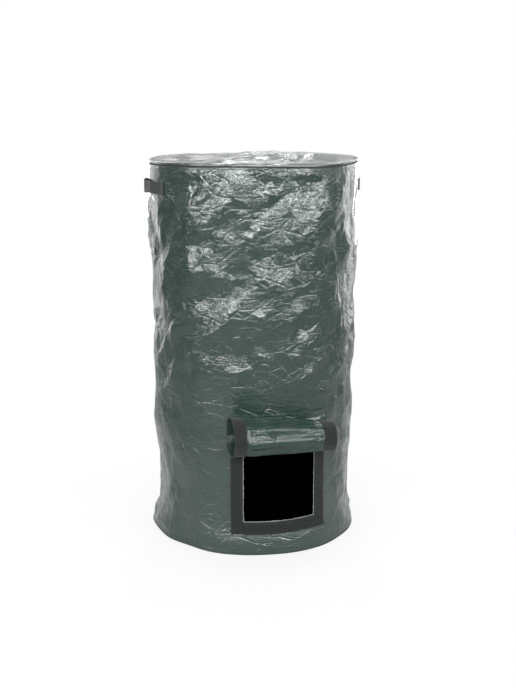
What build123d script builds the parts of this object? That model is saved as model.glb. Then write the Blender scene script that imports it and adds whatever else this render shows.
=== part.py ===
from build123d import *
from math import asin, cos, degrees, radians, sin, sqrt
import os

# Soft-sided compost bin: a standing bag of coated woven sheet with a zipped lid, a door flap that
# is rolled up, and two webbing handles. Millimetres. The origin is on the floor in the middle of
# the base, +Z is up and the door faces -Y.

# Bag
bin_diameter = 440.0
bin_height = 800.0
sheet = 1.0
hem_width = 5.0
lap_width = 20.0

# Clearances: between sewn layers, and between pieces that move
sewn_gap = 0.2
moving_gap = 0.3

# Threads
thread_width = 0.8
thread_height = 0.4
seam_inset = 4.0

# Zip round the rim
zip_tape = 0.6
zip_tape_sewn = 12.0
zip_tape_shown = 3.0
coil_height = 2.5
coil_depth = 2.2
coil_spacing = 1.0
zip_to_hinge = 8.0
stop_length = 3.0

# Lid and its fabric hinge
lid_crown = 8.0
hinge_width = 74.0
hinge_tab_length = 28.0
hinge_strip_drop = 30.0

# Slider
slider_length = 14.0
slider_plate = 1.2
slider_lip = 1.2
slider_clearance = 0.4
slider_post_length = 5.0
slider_post = 0.5
slider_to_stop = 2.0
slider_to_lid_coil = 6.0
ear_width = 1.4
ear_height = 3.2
ear_wall = 0.6

# Pull tab
pin_radius = 0.7
pin_clearance = 0.06
pull_length = 24.0
pull_width = 7.0
pull_thickness = 1.4
pull_eye_radius = 1.5
pull_eye_width = 5.6
pull_neck = 3.2

# Door opening and the loop tapes round it
door_width = 158.0
door_height = 197.0
door_bottom = 71.0
raw_edge = 2.0
tape_width = 25.0
loop_thickness = 1.2

# Door flap: the first panel is the longest, and each next one turns by the same angle
hook_thickness = 1.0
flap_header = 12.0
flap_panels = 8
first_panel = 34.0
panel_step = 1.0
roll_turn = 50.0
panel_setback = 0.4

# Handles
webbing_width = 25.0
webbing_thickness = 1.6
handle_length = 162.0
handle_tab = 24.0
handle_bow = 15.0
handle_below_rim = 52.0

# Directions round the bin, in degrees from +X
front = -90.0
right = 0.0
back = 90.0

# Radii and heights worked out from the sizes above
wall_outer = bin_diameter / 2
wall_inner = wall_outer - sheet
skin = wall_outer + sewn_gap
hem_radius = wall_outer + hem_width
hem_high = 2 * sheet
lid_low = bin_height - sheet
lid_coil_high = lid_low - zip_tape - zip_tape_shown
lid_coil_low = lid_coil_high - coil_height
rim_coil_high = lid_coil_low - coil_spacing
rim_coil_low = rim_coil_high - coil_height
wall_top = rim_coil_low - zip_tape_shown


def arc_angle(length, radius=wall_outer):
    """Degrees that a length takes up when it is laid round a circle."""
    return degrees(length / radius)


def strip_outline(inner, outer, middle, angle, low):
    """Outline of a strip that lies round the bin's axis, at the height where it starts."""
    start = middle - angle / 2
    with BuildSketch(Plane.XY.offset(low)) as outline:
        with BuildLine():
            outer_arc = CenterArc((0, 0), outer, start, angle)
            inner_arc = CenterArc((0, 0), inner, start, angle)
            Line(outer_arc @ 0, inner_arc @ 0)
            Line(outer_arc @ 1, inner_arc @ 1)
        make_face()
    return outline.sketch


def ring_outline(middle_radius, width, low):
    """Outline of a closed ring about the bin's axis, at the height where it starts."""
    with BuildSketch(Plane.XY.offset(low)) as outline:
        Circle(middle_radius + width / 2)
        Circle(middle_radius - width / 2, mode=Mode.SUBTRACT)
    return outline.sketch


os.makedirs("parts", exist_ok=True)

# Side wall: one sheet with a turned-out hem, a lap inside the back and the door opening
door_half_chord = wall_outer * sin(radians(arc_angle(door_width) / 2))
with BuildPart() as side_wall:
    with BuildSketch(Plane.XZ):
        with BuildLine():
            Polyline(
                (wall_inner, sheet),
                (hem_radius, sheet),
                (hem_radius, hem_high),
                (wall_outer, hem_high),
                (wall_outer, wall_top),
                (wall_inner, wall_top),
                close=True,
            )
        make_face()
    revolve(axis=Axis.Z)
    lap = strip_outline(wall_inner - sheet, wall_outer, back, arc_angle(lap_width), hem_high)
    extrude(lap, amount=wall_top - hem_high)
    with BuildSketch(Plane.XZ):
        with Locations((0, door_bottom + door_height / 2)):
            Rectangle(2 * door_half_chord, door_height)
    extrude(amount=hem_radius, mode=Mode.SUBTRACT)
side_wall.part.label = "side_wall"
export_step(side_wall.part, "parts/side_wall.step")

# Base panel, sewn under the hem
with BuildPart() as base_panel:
    Cylinder(hem_radius, sheet, align=(Align.CENTER, Align.CENTER, Align.MIN))
base_panel.part.label = "base_panel"
export_step(base_panel.part, "parts/base_panel.step")

with BuildPart() as base_seam_thread:
    extrude(ring_outline(wall_outer + hem_width / 2, thread_width, hem_high), amount=thread_height)
base_seam_thread.part.label = "base_seam_thread"
export_step(base_seam_thread.part, "parts/base_seam_thread.step")

# Back seam: two lines of thread down the lap, from the hem to the hinge strip
hinge_strip_low = wall_top - hinge_strip_drop
lap_line_angle = arc_angle(lap_width / 2 - seam_inset)
back_seam_low = hem_high + seam_inset
back_seam_high = hinge_strip_low - seam_inset
with BuildPart() as back_seam_thread:
    for side in (-1, 1):
        line = strip_outline(
            skin,
            skin + thread_height,
            back + side * lap_line_angle,
            arc_angle(thread_width),
            back_seam_low,
        )
        extrude(line, amount=back_seam_high - back_seam_low)
back_seam_thread.part.label = "back_seam_thread"
export_step(back_seam_thread.part, "parts/back_seam_thread.step")

# Zip tape and coil on the wall, with a stop at each end of the coil
coil_radius = wall_inner - sewn_gap - zip_tape / 2
tape_inner = coil_radius - zip_tape / 2
tape_outer = coil_radius + zip_tape / 2
coil_inner = coil_radius - coil_depth / 2
coil_outer = coil_radius + coil_depth / 2
stop_reach = slider_clearance + slider_plate / 2
stop_angle = arc_angle(stop_length)
rim_tape_angle = 360 - 2 * arc_angle(hinge_width / 2 + zip_to_hinge)
rim_coil_angle = rim_tape_angle - 2 * stop_angle
rim_tape_low = wall_top - zip_tape_sewn

with BuildPart() as rim_zip_tape:
    rim_tape = strip_outline(tape_inner, tape_outer, front, rim_tape_angle, rim_tape_low)
    extrude(rim_tape, amount=rim_coil_low - rim_tape_low)
rim_zip_tape.part.label = "rim_zip_tape"
export_step(rim_zip_tape.part, "parts/rim_zip_tape.step")

with BuildPart() as rim_zip_coil:
    rim_coil = strip_outline(coil_inner, coil_outer, front, rim_coil_angle, rim_coil_low)
    extrude(rim_coil, amount=coil_height)
rim_zip_coil.part.label = "rim_zip_coil"
export_step(rim_zip_coil.part, "parts/rim_zip_coil.step")

with BuildPart() as zip_end_stops:
    for side in (-1, 1):
        stop = strip_outline(
            coil_inner - stop_reach,
            coil_outer + stop_reach,
            front + side * (rim_coil_angle + stop_angle) / 2,
            stop_angle,
            rim_coil_low,
        )
        extrude(stop, amount=coil_height)
zip_end_stops.part.label = "zip_end_stops"
export_step(zip_end_stops.part, "parts/zip_end_stops.step")

# Thread that holds the zip tape to the wall's top edge
rim_seam_angle = 360 - arc_angle(hinge_width + 2 * seam_inset)
with BuildPart() as rim_seam_thread:
    rim_line = strip_outline(skin, skin + thread_height, front, rim_seam_angle, wall_top - seam_inset)
    extrude(rim_line, amount=thread_width)
rim_seam_thread.part.label = "rim_seam_thread"
export_step(rim_seam_thread.part, "parts/rim_seam_thread.step")

# Fabric hinge: a strip up the back of the wall and a tab sewn under the lid
hinge_strip_high = lid_low - moving_gap
with BuildPart() as hinge_strip:
    strip = strip_outline(skin, skin + sheet, back, arc_angle(hinge_width), hinge_strip_low)
    extrude(strip, amount=hinge_strip_high - hinge_strip_low)
hinge_strip.part.label = "hinge_strip"
export_step(hinge_strip.part, "parts/hinge_strip.step")

with BuildPart() as lid_hinge_tab:
    tab = strip_outline(
        tape_outer - hinge_tab_length,
        tape_outer,
        back,
        arc_angle(hinge_width),
        lid_low - sheet,
    )
    extrude(tab, amount=sheet)
lid_hinge_tab.part.label = "lid_hinge_tab"
export_step(lid_hinge_tab.part, "parts/lid_hinge_tab.step")

# Lid: a round sheet with a flat sewn edge and a low crown
lid_flat = wall_outer - zip_tape_sewn - seam_inset
crown_radius = (lid_flat**2 + lid_crown**2) / (2 * lid_crown)
crown_high = bin_height + lid_crown
with BuildPart() as lid_panel:
    with BuildSketch(Plane.XZ):
        with BuildLine():
            RadiusArc((0, crown_high), (lid_flat, bin_height), crown_radius)
            Line((lid_flat, bin_height), (wall_outer, bin_height))
            Line((wall_outer, bin_height), (wall_outer, lid_low))
            Line((wall_outer, lid_low), (lid_flat, lid_low))
            RadiusArc((0, crown_high - sheet), (lid_flat, lid_low), crown_radius)
            Line((0, crown_high - sheet), (0, crown_high))
        make_face()
    revolve(axis=Axis.Z)
lid_panel.part.label = "lid_panel"
export_step(lid_panel.part, "parts/lid_panel.step")

lid_seam_radius = wall_outer - seam_inset
with BuildPart() as lid_seam_thread:
    extrude(ring_outline(lid_seam_radius, thread_width, bin_height), amount=thread_height)
lid_seam_thread.part.label = "lid_seam_thread"
export_step(lid_seam_thread.part, "parts/lid_seam_thread.step")

# Zip tape and coil on the lid: the tape turns in under the lid's edge, and both end short of the
# wall's coil by the length where the slider is parked
parking_length = slider_to_stop + slider_length + slider_to_lid_coil
lid_coil_angle = rim_coil_angle - 2 * arc_angle(parking_length)
with BuildPart() as lid_zip_tape:
    upright = strip_outline(tape_inner, tape_outer, front, lid_coil_angle, lid_coil_high)
    extrude(upright, amount=lid_low - lid_coil_high)
    turned_in = strip_outline(
        tape_outer - zip_tape_sewn,
        tape_outer,
        front,
        lid_coil_angle,
        lid_low - zip_tape,
    )
    extrude(turned_in, amount=zip_tape)
lid_zip_tape.part.label = "lid_zip_tape"
export_step(lid_zip_tape.part, "parts/lid_zip_tape.step")

with BuildPart() as lid_zip_coil:
    lid_coil = strip_outline(coil_inner, coil_outer, front, lid_coil_angle, lid_coil_low)
    extrude(lid_coil, amount=coil_height)
lid_zip_coil.part.label = "lid_zip_coil"
export_step(lid_zip_coil.part, "parts/lid_zip_coil.step")

# Slider: two plates joined by a thin post between the coils, lips that hold the tapes, and two
# ears with a pin. It is parked past the end of the lid's coil, beside the hinge. In its own
# plane +Y points out from the bin.
parked = front - rim_coil_angle / 2 + arc_angle(slider_to_stop + slider_length / 2)
zip_middle = (lid_coil_low + rim_coil_high) / 2
outward = Vector(cos(radians(parked)), sin(radians(parked)), 0)
slider_plane = Plane(
    origin=outward * coil_radius + Vector(0, 0, zip_middle),
    x_dir=Vector(sin(radians(parked)), -cos(radians(parked)), 0),
    z_dir=Vector(0, 0, 1),
)
plate_face = coil_depth / 2 + slider_clearance
plate_middle = plate_face + slider_plate / 2
plate_back = plate_face + slider_plate
plate_height = coil_spacing + 2 * (coil_height + slider_clearance + slider_lip)
lip_middle = (plate_height - slider_lip) / 2
lip_depth = plate_face - zip_tape / 2 - slider_clearance
pin_out = plate_back + moving_gap + pull_eye_radius
ear_middle = pull_eye_width / 2 + moving_gap + ear_width / 2
ear_depth = pin_out + pin_radius + ear_wall - plate_back

with BuildPart(slider_plane) as zip_slider:
    with Locations((0, -plate_middle, 0), (0, plate_middle, 0)):
        Box(slider_length, slider_plate, plate_height)
    with Locations((0, plate_face, -lip_middle), (0, plate_face, lip_middle)):
        Box(slider_length, lip_depth, slider_lip, align=(Align.CENTER, Align.MAX, Align.CENTER))
    with Locations((0, -plate_face, -lip_middle), (0, -plate_face, lip_middle)):
        Box(slider_length, lip_depth, slider_lip, align=(Align.CENTER, Align.MIN, Align.CENTER))
    Box(slider_post_length, 2 * plate_middle, slider_post)
    with Locations((-ear_middle, plate_back, 0), (ear_middle, plate_back, 0)):
        Box(ear_width, ear_depth, ear_height, align=(Align.CENTER, Align.MIN, Align.CENTER))
    with Locations((0, pin_out, 0)):
        Cylinder(pin_radius, 2 * ear_middle, rotation=(0, 90, 0))
zip_slider.part.label = "zip_slider"
export_step(zip_slider.part, "parts/zip_slider.step")

# Pull tab: an eye on the slider's pin, a neck between the ears and a flat tab that hangs outside
hang_down = (Align.CENTER, Align.CENTER, Align.MAX)
pull_plane = Plane(
    origin=slider_plane.from_local_coords((0, pin_out, 0)),
    x_dir=slider_plane.x_dir,
    z_dir=slider_plane.z_dir,
)
with BuildPart(pull_plane) as zip_pull:
    Cylinder(pull_eye_radius, pull_eye_width, rotation=(0, 90, 0))
    Box(pull_eye_width, pull_thickness, pull_neck, align=hang_down)
    with Locations((0, 0, -pull_neck)):
        Box(pull_width, pull_thickness, pull_length - pull_neck, align=hang_down)
    Cylinder(pin_radius + pin_clearance, pull_width, rotation=(0, 90, 0), mode=Mode.SUBTRACT)
zip_pull.part.label = "zip_pull"
export_step(zip_pull.part, "parts/zip_pull.step")

# Loop tapes round the door: the left one runs the full height, the bottom one butts against it
# and passes under the end of the right one
panel_lengths = [first_panel - panel_step * number for number in range(flap_panels)]
tape_inner_angle = arc_angle(door_width / 2 + raw_edge)
tape_outer_angle = arc_angle(door_width / 2 + raw_edge + tape_width)
tape_middle_angle = (tape_inner_angle + tape_outer_angle) / 2
tape_angle = tape_outer_angle - tape_inner_angle
tape_low = door_bottom - raw_edge - tape_width
tape_turn = door_bottom - raw_edge
seam_height = tape_low + sum(panel_lengths)
tape_high = seam_height - seam_inset
loop_outer = skin + loop_thickness

with BuildPart() as door_loop_left:
    left_loop = strip_outline(skin, loop_outer, front - tape_middle_angle, tape_angle, tape_low)
    extrude(left_loop, amount=tape_high - tape_low)
door_loop_left.part.label = "door_loop_left"
export_step(door_loop_left.part, "parts/door_loop_left.step")

with BuildPart() as door_loop_right:
    right_loop = strip_outline(skin, loop_outer, front + tape_middle_angle, tape_angle, tape_turn)
    extrude(right_loop, amount=tape_high - tape_turn)
door_loop_right.part.label = "door_loop_right"
export_step(door_loop_right.part, "parts/door_loop_right.step")

with BuildPart() as door_loop_bottom:
    bottom_loop = strip_outline(
        skin,
        loop_outer,
        front + tape_angle / 2,
        tape_inner_angle + tape_outer_angle,
        tape_low,
    )
    extrude(bottom_loop, amount=tape_width)
door_loop_bottom.part.label = "door_loop_bottom"
export_step(door_loop_bottom.part, "parts/door_loop_bottom.step")

# Threads of the loop tapes: a line near each edge of the side tapes, and two along the bottom
thread_inner = loop_outer + sewn_gap
thread_outer = thread_inner + thread_height
edge_line_angle = tape_angle / 2 - arc_angle(seam_inset)
with BuildPart() as door_seam_thread:
    for tape_side in (-1, 1):
        for edge in (-1, 1):
            side_line = strip_outline(
                thread_inner,
                thread_outer,
                front + tape_side * tape_middle_angle + edge * edge_line_angle,
                arc_angle(thread_width),
                tape_turn + seam_inset,
            )
            extrude(side_line, amount=tape_high - tape_turn - 2 * seam_inset)
    for line_low in (tape_low + seam_inset, tape_turn - seam_inset - thread_width):
        bottom_line = strip_outline(
            thread_inner,
            thread_outer,
            front,
            2 * tape_inner_angle - 2 * arc_angle(seam_inset),
            line_low,
        )
        extrude(bottom_line, amount=thread_width)
door_seam_thread.part.label = "door_seam_thread"
export_step(door_seam_thread.part, "parts/door_seam_thread.step")

# Door flap, first panel: a header sewn round the wall, and a web that leaves it and runs out to
# the straight line where the roll starts
flap_width = door_width + 2 * (raw_edge + tape_width)
flap_plane = thread_outer + moving_gap + hook_thickness + sheet / 2
roll_start = seam_height - first_panel
with BuildPart() as flap_panel_1:
    header = strip_outline(skin, skin + sheet, front, arc_angle(flap_width), seam_height)
    extrude(header, amount=flap_header)
    with BuildSketch(Plane.XY.offset(roll_start)) as web_end:
        with Locations((0, -flap_plane)):
            Rectangle(flap_width, sheet)
    loft([header, web_end.sketch], ruled=True)
flap_panel_1.part.label = "flap_panel_1"
export_step(flap_panel_1.part, "parts/flap_panel_1.step")

with BuildPart() as flap_seam_thread:
    header_line = strip_outline(
        skin + sheet + sewn_gap,
        skin + sheet + sewn_gap + thread_height,
        front,
        arc_angle(flap_width - 2 * seam_inset),
        seam_height + flap_header / 2,
    )
    extrude(header_line, amount=thread_width)
flap_seam_thread.part.label = "flap_seam_thread"
export_step(flap_seam_thread.part, "parts/flap_seam_thread.step")

# Door flap, rolled panels: straight strips hinged edge to edge, each turned on from the one
# before. The hook tapes are on the face that the roll shows.
corner = Vector(0, -flap_plane, roll_start)
for number in range(2, flap_panels + 1):
    heading = radians(roll_turn * (number - 1))
    panel_length = panel_lengths[number - 1]
    panel_plane = Plane(
        origin=corner,
        x_dir=Vector(1, 0, 0),
        z_dir=Vector(0, cos(heading), -sin(heading)),
    )
    flat_length = panel_length - 2 * panel_setback
    flat_middle = panel_length / 2

    with BuildPart(panel_plane) as flap_panel:
        with Locations((0, flat_middle, 0)):
            Box(flap_width, flat_length, sheet)
    flap_panel.part.label = f"flap_panel_{number}"
    export_step(flap_panel.part, f"parts/flap_panel_{number}.step")

    tape_offset = (flap_width - tape_width) / 2
    on_face = (Align.CENTER, Align.CENTER, Align.MIN)
    with BuildPart(panel_plane) as flap_hook:
        with Locations((-tape_offset, flat_middle, sheet / 2), (tape_offset, flat_middle, sheet / 2)):
            Box(tape_width, flat_length, hook_thickness, align=on_face)
    flap_hook.part.label = f"flap_hook_{number}"
    export_step(flap_hook.part, f"parts/flap_hook_{number}.step")

    corner = panel_plane.from_local_coords(Vector(0, panel_length, 0))

# Hook tape along the flap's free edge, between the two side tapes of the last panel
with BuildPart(panel_plane) as flap_hook_bottom:
    with Locations((0, panel_length - panel_setback, sheet / 2)):
        Box(
            flap_width - 2 * tape_width,
            min(tape_width, flat_length),
            hook_thickness,
            align=(Align.CENTER, Align.MAX, Align.MIN),
        )
flap_hook_bottom.part.label = "flap_hook_bottom"
export_step(flap_hook_bottom.part, "parts/flap_hook_bottom.step")

# Handles: two sewn ends on the wall, and a strap that bows out between them. The strap's ends are
# cut square, so that it can swing about its upper edge.
handle_high = bin_height - handle_below_rim + webbing_width / 2
handle_low = handle_high - webbing_width
tab_angle = arc_angle(handle_tab)
tab_middle = arc_angle(handle_length / 2) - tab_angle / 2
bow_half = skin * sin(radians(tab_middle - tab_angle / 2)) - moving_gap
bow_end = sqrt(wall_outer**2 - bow_half**2) + moving_gap + webbing_thickness
bow_middle = wall_outer + handle_bow + webbing_thickness / 2
bow_rise = bow_middle - bow_end
bow_radius = (bow_half**2 + bow_rise**2) / (2 * bow_rise)
bow_centre = bow_middle - bow_radius

with BuildPart() as right_handle_tabs:
    for side in (-1, 1):
        tab = strip_outline(skin, skin + webbing_thickness, right + side * tab_middle, tab_angle, handle_low)
        extrude(tab, amount=webbing_width)
with BuildPart() as left_handle_tabs:
    mirror(right_handle_tabs.part, about=Plane.YZ)

with BuildPart() as right_handle_strap:
    with BuildSketch(Plane.XY.offset(handle_low)):
        with BuildLine():
            faces = []
            for face_radius in (bow_radius - webbing_thickness / 2, bow_radius + webbing_thickness / 2):
                half_angle = degrees(asin(bow_half / face_radius))
                faces.append(CenterArc((bow_centre, 0), face_radius, -half_angle, 2 * half_angle))
            Line(faces[0] @ 0, faces[1] @ 0)
            Line(faces[0] @ 1, faces[1] @ 1)
        make_face()
    extrude(amount=webbing_width)
with BuildPart() as left_handle_strap:
    mirror(right_handle_strap.part, about=Plane.YZ)

# Threads of the handles: two upright lines on each sewn end
tab_thread = skin + webbing_thickness + sewn_gap
with BuildPart() as right_handle_thread:
    for side in (-1, 1):
        for edge in (-1, 1):
            tab_line = strip_outline(
                tab_thread,
                tab_thread + thread_height,
                right + side * tab_middle + edge * (tab_angle / 2 - arc_angle(seam_inset)),
                arc_angle(thread_width),
                handle_low + seam_inset,
            )
            extrude(tab_line, amount=webbing_width - 2 * seam_inset)
with BuildPart() as left_handle_thread:
    mirror(right_handle_thread.part, about=Plane.YZ)

right_handle_tabs.part.label = "right_handle_tabs"
export_step(right_handle_tabs.part, "parts/right_handle_tabs.step")
left_handle_tabs.part.label = "left_handle_tabs"
export_step(left_handle_tabs.part, "parts/left_handle_tabs.step")
right_handle_strap.part.label = "right_handle_strap"
export_step(right_handle_strap.part, "parts/right_handle_strap.step")
left_handle_strap.part.label = "left_handle_strap"
export_step(left_handle_strap.part, "parts/left_handle_strap.step")
right_handle_thread.part.label = "right_handle_thread"
export_step(right_handle_thread.part, "parts/right_handle_thread.step")
left_handle_thread.part.label = "left_handle_thread"
export_step(left_handle_thread.part, "parts/left_handle_thread.step")
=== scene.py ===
import random
from math import atan2, cos, degrees, hypot, pi, radians, sin

import bpy
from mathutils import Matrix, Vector, geometry, noise
from mathutils.bvhtree import BVHTree


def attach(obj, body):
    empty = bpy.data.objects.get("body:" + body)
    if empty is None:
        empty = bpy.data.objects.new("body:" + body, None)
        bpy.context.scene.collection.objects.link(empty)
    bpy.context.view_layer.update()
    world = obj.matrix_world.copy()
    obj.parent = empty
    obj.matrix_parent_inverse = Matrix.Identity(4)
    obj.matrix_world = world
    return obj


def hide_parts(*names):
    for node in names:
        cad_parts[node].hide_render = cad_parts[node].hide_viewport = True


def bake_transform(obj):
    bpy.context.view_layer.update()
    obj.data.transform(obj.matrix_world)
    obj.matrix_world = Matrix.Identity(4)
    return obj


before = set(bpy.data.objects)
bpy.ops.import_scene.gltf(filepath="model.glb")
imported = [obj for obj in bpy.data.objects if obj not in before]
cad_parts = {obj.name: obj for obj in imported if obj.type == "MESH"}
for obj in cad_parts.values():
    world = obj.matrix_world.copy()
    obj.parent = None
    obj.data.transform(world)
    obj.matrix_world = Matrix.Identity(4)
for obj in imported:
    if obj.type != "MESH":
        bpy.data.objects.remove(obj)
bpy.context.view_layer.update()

# Side wall: one sheet of laminated woven polyethylene, rolled into a tube and lapped at the back.
# It stands by its own stiffness, so it is crushed into facets, dents and creases. Its lower edge
# is turned out as a hem, and the door opening is cut out of the front.
wall_radius, wall_height, sheet_thick = 0.2198, 0.7910, 0.0008
lap_width, lap_lift, ground_gap, wave_foot = 0.03, 0.0006, 0.0004, 0.70
corner_stray, wall_stray, flat_share, waist_depth = 0.45, 0.42, 0.94, 0.0050
facet_slant, slant_span, facet_share = 0.5, 0.9, 0.9
door_half, door_low = 0.079, 0.071
columns, rows = 124, 67
door_columns, sill_rows, head_rows = 7, 6, 23
wall_width = columns * door_half / door_columns
row_low = door_low / sill_rows
row_high = (wall_height - head_rows * row_low) / (rows - head_rows)


def between(value, knots):
    for (a, low), (b, high) in zip(knots, knots[1:]):
        if value <= b:
            t = min(max((value - a) / (b - a), 0), 1)
            return low + (high - low) * t * t * (3 - 2 * t)
    return knots[-1][1]


def wall_line(z):
    return between(z, ((0.002, 0.2244), (0.022, 0.2236), (0.064, 0.2164), (0.16, 0.2155),
                       (0.30, 0.2166), (0.45, 0.2186), (0.62, 0.2208), (0.735, 0.2222),
                       (0.775, 0.2220), (0.7864, 0.2208)))


def crushed(width, height, across, up, depth, seed, known=()):
    random.seed(seed)
    corners = [Vector((across * (i + 0.5 * (j % 2) + random.uniform(-corner_stray, corner_stray)) - width / 2,
                       up * (j + random.uniform(-corner_stray, corner_stray)), random.uniform(-depth, depth)))
               for i in range(-3, int(width / across) + 4) for j in range(-3, int(height / up) + 4)]
    corners = [c for c in corners
               if all(hypot(c.x - k[0], c.y - k[1]) > corner_stray * across for k in known)]
    corners += [Vector(k) for k in known]
    plan = geometry.delaunay_2d_cdt([c.to_2d() for c in corners], [], [], 0, 1e-7)
    creased = BVHTree.FromPolygons([corners[source[0]] for source in plan[3]], plan[2])

    def height_at(x, y):
        hit = creased.ray_cast(Vector((x, y, 1)), Vector((0, 0, -1)))[0]
        return hit.z if hit else 0.0
    return height_at


def near(s, z, area, fade):
    left, right, low, high = area
    away = hypot(max(left - s, s - right, 0), max(low - z, z - high, 0))
    return max(1 - away / fade, 0)


big_facets = crushed(wall_width, wall_height, across=0.080, up=0.065, depth=0.0040, seed=11, known=(
    (-0.175, 0.766, -0.003), (-0.040, 0.768, -0.003), (-0.083, 0.728, 0.006), (-0.120, 0.695, 0.001),
    (-0.045, 0.712, -0.003), (-0.214, 0.640, -0.002), (-0.158, 0.588, 0.004), (-0.195, 0.590, 0.004),
    (-0.150, 0.640, -0.004), (-0.092, 0.572, 0.000), (-0.020, 0.606, -0.004), (-0.020, 0.572, 0.005),
    (-0.064, 0.620, -0.003), (-0.120, 0.548, -0.004), (-0.115, 0.487, 0.005), (-0.105, 0.427, -0.004),
    (-0.105, 0.392, 0.004), (-0.139, 0.416, 0.000), (-0.072, 0.424, 0.000), (0.030, 0.745, -0.003),
    (0.060, 0.695, 0.005), (0.100, 0.740, -0.004), (-0.400, 0.688, 0.009), (-0.400, 0.630, 0.003)))
facets = crushed(wall_width + slant_span, wall_height, across=0.036, up=0.034, depth=0.0034, seed=5)
small_facets = crushed(wall_width + slant_span, wall_height, across=0.017, up=0.015, depth=0.0013, seed=3)
flat_areas = {
    "door": ((-0.108, 0.108, 0.040, 0.320), 0.045),
    "right handle": ((0.255, 0.435, 0.730, 0.766), 0.02),
    "left handle": ((-0.435, -0.255, 0.730, 0.766), 0.02),
    "rim": ((-1, 1, 0.781, 1), 0.016),
    "hem": ((-1, 1, -1, 0.004), 0.012),
    "left of lap": ((-1, -wall_width / 2 + lap_width, -1, 1), lap_width),
    "right of lap": ((wall_width / 2 - lap_width, 1, -1, 1), lap_width)}


def crumple(s, z):
    flat = 1.0
    for area, fade in flat_areas.values():
        flat *= 1 - flat_share * near(s, z, area, fade)
    smooth = between(z, ((0.06, 0.45), (0.34, 0.6), (0.44, 1.0)))
    flat *= smooth + (1 - smooth) * between(abs(s + 0.055), ((0.13, 0.0), (0.21, 1.0)))
    folds = 0.0026 * noise.noise(Vector((s * 30, z * 7, 4.0)))
    folds += 0.0012 * noise.noise(Vector((s * 95, z * 20, 9.0)))
    folds -= 0.0036 * abs(noise.noise(Vector(((s - z) * 13, (s + z) * 4, 6.0))))
    folds -= 0.0022 * abs(noise.noise(Vector(((s + 0.6 * z) * 24, (z - 0.6 * s) * 9, 2.0))))
    waist = between(z, ((0.018, 0.0), (0.048, 1.0), (0.11, 1.0), (0.22, 0.0)))
    waist *= between(abs(s), ((0.17, 0.0), (0.28, 1.0), (0.45, 1.0), (0.58, 0.0)))
    slid = s - facet_slant * z
    dents = big_facets(s, z) + facet_share * facets(slid, z) + facet_share * small_facets(slid, z)
    return flat * (dents + folds) - waist_depth * waist


def rim_wave(angle):
    lift = between((angle + pi) % (2 * pi) - pi, ((-2.6, 0.1), (-1.6, 0.2), (-0.9, 0.7), (-0.3, 0.9),
                                                  (0.45, 0.0), (1.0, 0.9), (2.3, 0.8), (2.7, 0.1)))
    return 0.0046 * max(lift + 0.35 * noise.noise(Vector((2.2 * cos(angle), 2.2 * sin(angle), 5.3))), 0)


def hem_wave(angle):
    return 0.0060 * noise.noise(Vector((2.6 * cos(angle), 2.6 * sin(angle), 8.1)))


def new_grid(name, across, up, width, height, start=0.0):
    bpy.ops.object.select_all(action="DESELECT")
    bpy.ops.mesh.primitive_grid_add(x_subdivisions=across, y_subdivisions=up, size=1)
    piece = bpy.context.object
    piece.name = name
    for corner in piece.data.uv_layers[0].data:
        corner.uv = (corner.uv.x * width, start + corner.uv.y * height)
    return piece


wall = new_grid("wall_sheet", columns, rows, wall_width, wall_height)
bpy.ops.object.mode_set(mode="EDIT")
bpy.ops.mesh.select_mode(type="FACE")
bpy.ops.mesh.select_all(action="DESELECT")
bpy.ops.object.mode_set(mode="OBJECT")
for face in wall.data.polygons:
    i = face.center.x * columns
    j = (face.center.y + 0.5) * rows
    face.select = abs(i) < door_columns and sill_rows < j < head_rows
bpy.ops.object.mode_set(mode="EDIT")
bpy.ops.mesh.delete(type="FACE")
bpy.ops.object.mode_set(mode="OBJECT")
random.seed(2)
laid_flat = []
for vertex in wall.data.vertices:
    i = vertex.co.x * columns
    j = (vertex.co.y + 0.5) * rows
    at_door = abs(i) < door_columns + 3 and sill_rows - 3 < j < head_rows + 4
    at_edge = abs(abs(i) - columns / 2) < 0.5 or not 0.5 < j < rows - 0.5
    i += random.uniform(-wall_stray, wall_stray) * (not at_door and not at_edge)
    j += random.uniform(-wall_stray, wall_stray) * (not at_door and not at_edge)
    s = i * wall_width / columns
    z = row_low * min(j, head_rows) + row_high * max(j - head_rows, 0)
    laid_flat.append((s + wall_width / 2, z))
    angle = s / wall_radius
    lap = lap_lift * (1 if s > 0 else -1) * max(abs(s) - wall_width / 2 + lap_width, 0) / lap_width
    r = wall_line(z) + crumple(s, z) + lap + hem_wave(angle) * between(z, ((0.010, 1.0), (0.055, 0.0)))
    z = max(z, ground_gap) + rim_wave(angle) * max(z - wave_foot, 0) / (wall_height - wave_foot)
    vertex.co = (r * sin(angle), -r * cos(angle), z)
for corner, loop in zip(wall.data.uv_layers[0].data, wall.data.loops):
    corner.uv = laid_flat[loop.vertex_index]
bpy.ops.object.mode_set(mode="EDIT")
bpy.ops.mesh.select_all(action="SELECT")
bpy.ops.mesh.quads_convert_to_tris(quad_method="SHORTEST_DIAGONAL")
bpy.ops.object.mode_set(mode="OBJECT")


def mark_raw_edges(piece, left, right, low, high):
    edges = {}
    for face in piece.data.polygons:
        for key in face.edge_keys:
            edges[key] = edges.get(key, 0) + 1
    raw = piece.data.attributes.new("raw_edge", "FLOAT", "POINT")
    for key, count in edges.items():
        if count == 1:
            for index in key:
                point = piece.data.vertices[index].co
                if left < point.x < right and low < point.z < high and point.y < 0:
                    raw.data[index].value = 1.0


mark_raw_edges(wall, left=-0.09, right=0.09, low=0.05, high=0.30)


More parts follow.
